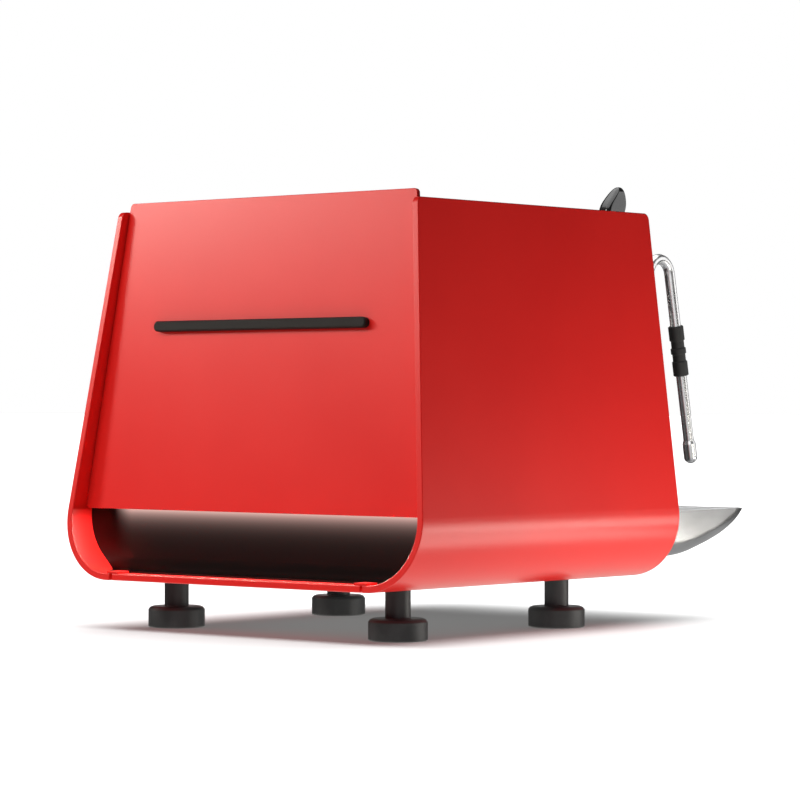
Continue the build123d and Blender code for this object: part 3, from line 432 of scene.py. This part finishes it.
def band(shape, x, z, inner, outer, start, end, front, depth, steps=40):
    """Part of a flat ring between two angles in degrees."""
    for i in range(steps):
        a, b = (math.radians(start + (end - start) * k / steps) for k in (i, i + 1))
        corners = [(x + r * math.cos(t), z + r * math.sin(t))
                   for r, t in ((inner, a), (outer, a), (outer, b), (inner, b))]
        near = [shape.verts.new((u * MM, front * MM, w * MM)) for u, w in corners]
        far = [shape.verts.new((u * MM, (front + depth) * MM, w * MM)) for u, w in corners]
        shape.faces.new(near)
        shape.faces.new(far[::-1])
        shape.faces.new((near[1], far[1], far[2], near[2]))
        shape.faces.new((near[3], far[3], far[0], near[0]))
        if end - start < 360 and i == 0:
            shape.faces.new((near[0], far[0], far[1], near[1]))
        if end - start < 360 and i == steps - 1:
            shape.faces.new((near[2], far[2], far[3], near[3]))


def cup(shape, x, z, width, front, depth):
    """Small cup seen from the side, with a handle."""
    w, h = width / 2, width * 0.62
    plate(shape, [(x - w, z + h / 2), (x - w * 0.9, z - h * 0.2), (x - w * 0.5, z - h / 2),
                  (x + w * 0.5, z - h / 2), (x + w * 0.9, z - h * 0.2), (x + w, z + h / 2)],
          front, depth)
    band(shape, x + w, z + h * 0.1, w * 0.26, w * 0.46, -80, 80, front, depth, 10)


MARKS_Z = 312.0                       # height of the row of buttons and of the display, mm
DIAL_START, DIAL_END, DIAL_TICKS = -50, 230, 9


def display_marks(shape):
    """Dial, level bars and a cup, standing just proud of the display."""
    front, depth = -91.86, 0.1
    dial_x, mid_z = -44.0, MARKS_Z
    band(shape, dial_x, mid_z, 10.2, 11.4, DIAL_START, DIAL_END, front, depth)
    for k in range(DIAL_TICKS):
        angle = DIAL_START + (DIAL_END - DIAL_START) / (DIAL_TICKS - 1) * k
        turn = math.radians(angle)
        bar(shape, dial_x + 8.4 * math.cos(turn), mid_z + 8.4 * math.sin(turn), 2.0, 0.5,
            front, depth, angle)
    bar(shape, dial_x + 2.2, mid_z + 2.6, 8.0, 0.9, front, depth, 50)
    band(shape, dial_x, mid_z, 0.6, 1.7, 0, 360, front, depth, 20)
    for k, length in enumerate((26.0, 19.0, 23.0)):
        bar(shape, -24.0 + length / 2, mid_z + 7 - 7 * k, length, 1.7, front, depth)
    cup(shape, 18.0, mid_z - 2, 12.0, front, depth)
    for k in (-1, 0, 1):
        bar(shape, 18.0 + 3.2 * k, mid_z + 6.5, 4.0, 0.8, front, depth, 90)


def button_mark(kind, x):
    """Builder of one cup, two cups or three bars of steam on a button centred at x."""
    front, depth = -93.54, 0.12

    def build(shape):
        if kind == 1:
            cup(shape, x - 0.5, MARKS_Z, 7.0, front, depth)
        elif kind == 2:
            cup(shape, x - 4.0, MARKS_Z, 5.4, front, depth)
            cup(shape, x + 3.0, MARKS_Z, 5.4, front, depth)
        else:
            for k in (-1, 0, 1):
                bar(shape, x + 2.6 * k, MARKS_Z - 0.8 * abs(k), 6.4, 1.0, front, depth, 90)
    return build


def rocker_marks(shape):
    """A line above and a ring below, as on any mains switch."""
    x, apart, front, depth = 148.0, 7.0, -91.25, 0.5
    bar(shape, x, MARKS_Z + apart, 4.6, 0.8, front, depth, 90)
    band(shape, x, MARKS_Z - apart, 1.5, 2.2, 0, 360, front, depth, 24)


SOCKET_FLAT = 0.36


def socket_screw(place, facing, r=3.2):
    """Domed screw with a six-sided socket, at a place in metres; r in millimetres."""
    rings = ((1.0, 0.0), (1.0, 0.3), (0.9, 1.0), (0.66, 1.5), (0.5, 1.6), (None, 1.6),
             (None, 0.7))
    count = 24
    turn = Vector(facing).to_track_quat("Z", "Y").to_matrix().to_4x4()
    spot = Matrix.Translation(place) @ turn

    def build(shape):
        loops = []
        for radius, height in rings:
            loop = []
            for k in range(count):
                angle = 2 * math.pi * k / count
                if radius is None:
                    # a None radius is the six-sided socket, SOCKET_FLAT of r to each flat
                    off = math.radians(math.degrees(angle) % 60 - 30)
                    reach = SOCKET_FLAT * r / math.cos(off)
                else:
                    reach = radius * r
                loop.append(shape.verts.new(spot @ Vector((reach * math.cos(angle) * MM,
                                                           reach * math.sin(angle) * MM,
                                                           height * MM))))
            loops.append(loop)
        for low, high in zip(loops, loops[1:]):
            for k in range(count):
                shape.faces.new((low[k - 1], low[k], high[k], high[k - 1]))
        shape.faces.new(loops[-1])
        shape.faces.new(loops[0][::-1])
    return build


detail("display_marks", MARK, "machine", "screen", display_marks)
for number, x in ((1, -98.0), (2, 68.0), (3, 98.0)):
    detail(f"button_mark_{number}", GLOSS, f"brew_button_{number}", "gloss_black",
           button_mark(number, x))
detail("rocker_marks", MARK, "power_switch", "screen", rocker_marks)
EDGE_GAP_X, EDGE_GAP_Z = 0.012, 0.010  # from a screw to the sheet's edges
low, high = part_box("backsplash")
# the sheet narrows upwards, so the upper screws take its width at the top
top_half = max(v.co.x for v in nodes["backsplash"].data.vertices if v.co.z > high.z - MM)
for level, z, half in (("low", low.z + EDGE_GAP_Z, high.x),
                       ("high", high.z - EDGE_GAP_Z, top_half)):
    for side, hand in ((-1, "left"), (1, "right")):
        detail(f"splash_screw_{hand}_{level}", POLISHED, "machine", "polished_steel",
               socket_screw((side * (half - EDGE_GAP_X), low.y, z), (0, -1, 0)))


# ---- stage, lights and camera ----
def lit_group(name, objects):
    """Collection of the only objects that a light falls on."""
    group = bpy.data.collections.new(name)
    for thing in objects:
        group.objects.link(thing)
    return group


def stage_floor():
    """Pale paper floor that takes shadows but neither blocks nor bounces light."""
    mesh = bpy.data.meshes.new("floor")
    half = 40.0
    mesh.from_pydata([(-half, -half, 0), (half, -half, 0), (half, half, 0), (-half, half, 0)],
                     [], [(0, 1, 2, 3)])
    floor = bpy.data.objects.new("floor", mesh)
    bpy.context.scene.collection.objects.link(floor)
    paper = Finish("studio_floor", Specular_IOR_Level=0.0, Emission_Strength=0.13)
    cloud = paper.noise(0.8, 2.0)
    paper.feed("Base Color", cloud.mix(rgb(146, 146, 146), rgb(150, 150, 150)))
    paper.feed("Roughness", cloud * 0.05 + 0.6)
    paper.feed("Emission Color", cloud.mix(rgb(250, 250, 250), rgb(255, 255, 255)))
    mesh.materials.append(paper.material)
    floor.visible_diffuse = floor.visible_glossy = floor.visible_shadow = False
    return floor


def aim_at(lamp, place, aim):
    lamp.location = place
    lamp.rotation_euler = (Vector(aim) - Vector(place)).to_track_quat("-Z", "Y").to_euler()
    lamp.visible_camera = False
    bpy.context.scene.collection.objects.link(lamp)


def area_light(name, place, aim, size, power, only=None, colour=(1.0, 1.0, 1.0)):
    light = bpy.data.lights.new(name, "AREA")
    light.shape = "RECTANGLE"
    light.size, light.size_y = size
    light.energy = power
    light.color = colour
    lamp = bpy.data.objects.new(name, light)
    aim_at(lamp, place, aim)
    if only:
        lamp.light_linking.receiver_collection = only


def floor_sun(place, energy, width, only):
    """Broad light from above and a little to the front that only the floor receives."""
    light = bpy.data.lights.new("floor_sun", "SUN")
    light.energy = energy
    light.angle = math.radians(width)
    lamp = bpy.data.objects.new("floor_sun", light)
    aim_at(lamp, place, (0.0, 0.0, 0.0))
    lamp.light_linking.receiver_collection = only


def studio_world(seen, fill):
    """White backdrop to the eye, soft grey fill for everything else."""
    world = bpy.data.worlds.new("studio")
    world.use_nodes = True
    tree = world.node_tree
    back = tree.nodes["Background"]
    back.inputs["Color"].default_value = (1.0, 1.0, 1.0, 1.0)
    eye = Wire(tree, back.outputs[0]).node("ShaderNodeLightPath", output=0)
    tree.links.new((eye * (seen - fill) + fill).socket, back.inputs["Strength"])
    bpy.context.scene.world = world


def main_camera():
    camera_data = bpy.data.cameras.new("camera")
    camera_data.sensor_width = 36.0
    camera_data.lens = 144.805
    camera_data.clip_end = 200.0
    camera = bpy.data.objects.new("camera", camera_data)
    camera.location = (-1.86236, 2.23544, 0.19712)
    heading, pitch = math.radians(220.3426), math.radians(0.0613)
    look = Vector((-math.sin(heading) * math.cos(pitch), math.cos(heading) * math.cos(pitch),
                   math.sin(pitch)))
    camera.rotation_euler = look.to_track_quat("-Z", "Y").to_euler()
    bpy.context.scene.collection.objects.link(camera)
    bpy.context.scene.camera = camera


def studio():
    main_camera()
    floor = stage_floor()
    studio_world(1.0, 0.06)
    bpy.context.scene.view_settings.view_transform = "Standard"
    paper = lit_group("lit_floor", [floor])
    painted = lit_group("lit_paint", [nodes[name] for name in FINISH_OF[RED]])
    # the recess cover takes no lamp: the light on it is painted in its material
    dark = [nodes[name] for name in FINISH_OF[RECESS]]
    rest = lit_group("lit_rest", [nodes[name] for finish, names in FINISH_OF.items()
                                  for name in names if finish not in (RED, RECESS)] + DETAILS)
    machine = lit_group("lit_machine", [thing for thing in nodes.values() if thing not in dark])
    shell = lit_group("lit_shell", [nodes[name] for finish, names in FINISH_OF.items()
                                    for name in names
                                    if finish not in (POLISHED, TRAY_STEEL, WAND_STEEL, RECESS)])
    middle = (0.0, 0.22, 0.3)
    # the floor's own light, from straight above
    floor_sun((0.2, -1.0, 4.0), 15.5, 88.0, paper)
    # warm lights behind and above, which the rear panel reflects along its upper edge
    area_light("rear_strip", (0.75, 1.0, 0.68), middle, (1.2, 0.25), 3.1, machine, WARM)
    area_light("rear_high", (0.4, 1.5, 1.4), middle, (1.0, 0.6), 12.9, machine, WARM)
    area_light("rear_key", (1.75, 1.4, 0.98), middle, (0.4, 0.4), 15.3, machine, WARM)
    # low lights on the wand side, for the bend and the foot of the side panel
    flank = (-0.2, -0.05, 0.1)
    area_light("side_far", (-1.8, -1.7, 0.25), flank, (0.6, 0.4), 0.7, machine, WARM)
    area_light("side_low", (-0.6, -0.35, 0.02), (-0.2, -0.2, 0.1), (0.5, 0.05), 0.9, machine, WARM)
    # light that comes back up from the floor
    up = Vector((0.0, 0.0, 1.0))
    for name, place, size, power in (("floor_near", (-0.42, -0.1, -0.02), (0.2, 0.5), 0.95),
                                     ("floor_rear", (-0.6, 0.4, -0.02), (0.5, 0.4), 0.7),
                                     ("floor_wide", (0.0, 0.0, -0.3), (3.0, 3.0), 25.0)):
        area_light(name, place, Vector(place) + up, size, power, shell, WARM)
    # the hidden strip under the rear panel's lower edge
    area_light("recess_strip", (0.0, 0.238, 0.1035), (0.0, 0.245, 0.0), (0.36, 0.004), 0.5,
               painted, WARM)
    # broad soft light for the metal and the black parts
    area_light("dome", (0.0, 0.0, 2.6), (0.0, 0.0, 0.3), (3.5, 3.5), 60.0, rest)
    box_z = 0.92                      # level of the soft boxes, which face straight across
    for name, place, size, power in (("box_wand_side", (-1.9, -2.2, box_z), (2.4, 1.8), 15.0),
                                     ("box_rear", (-2.2, 2.6, box_z), (2.4, 1.8), 13.0),
                                     ("box_front", (1.6, -2.6, box_z), (2.0, 1.8), 14.0)):
        area_light(name, place, (-0.17, -0.1, box_z), size, power, rest)
    bright = lit_group("lit_bright", [nodes[name] for finish in (POLISHED, TRAY_STEEL, WAND_STEEL)
                                      for name in FINISH_OF[finish]])
    area_light("floor_bright", (0.0, 0.0, -0.3), (0.0, 0.0, 1.0), (3.0, 3.0), 14.0, bright)
    pipe = lit_group("lit_pipe", [nodes[name] for name in FINISH_OF[WAND_STEEL]])
    area_light("box_pipe", (-1.1, 0.7, 0.4), (-0.16, -0.15, 0.25), (1.2, 1.2), 3.6, pipe)


studio()
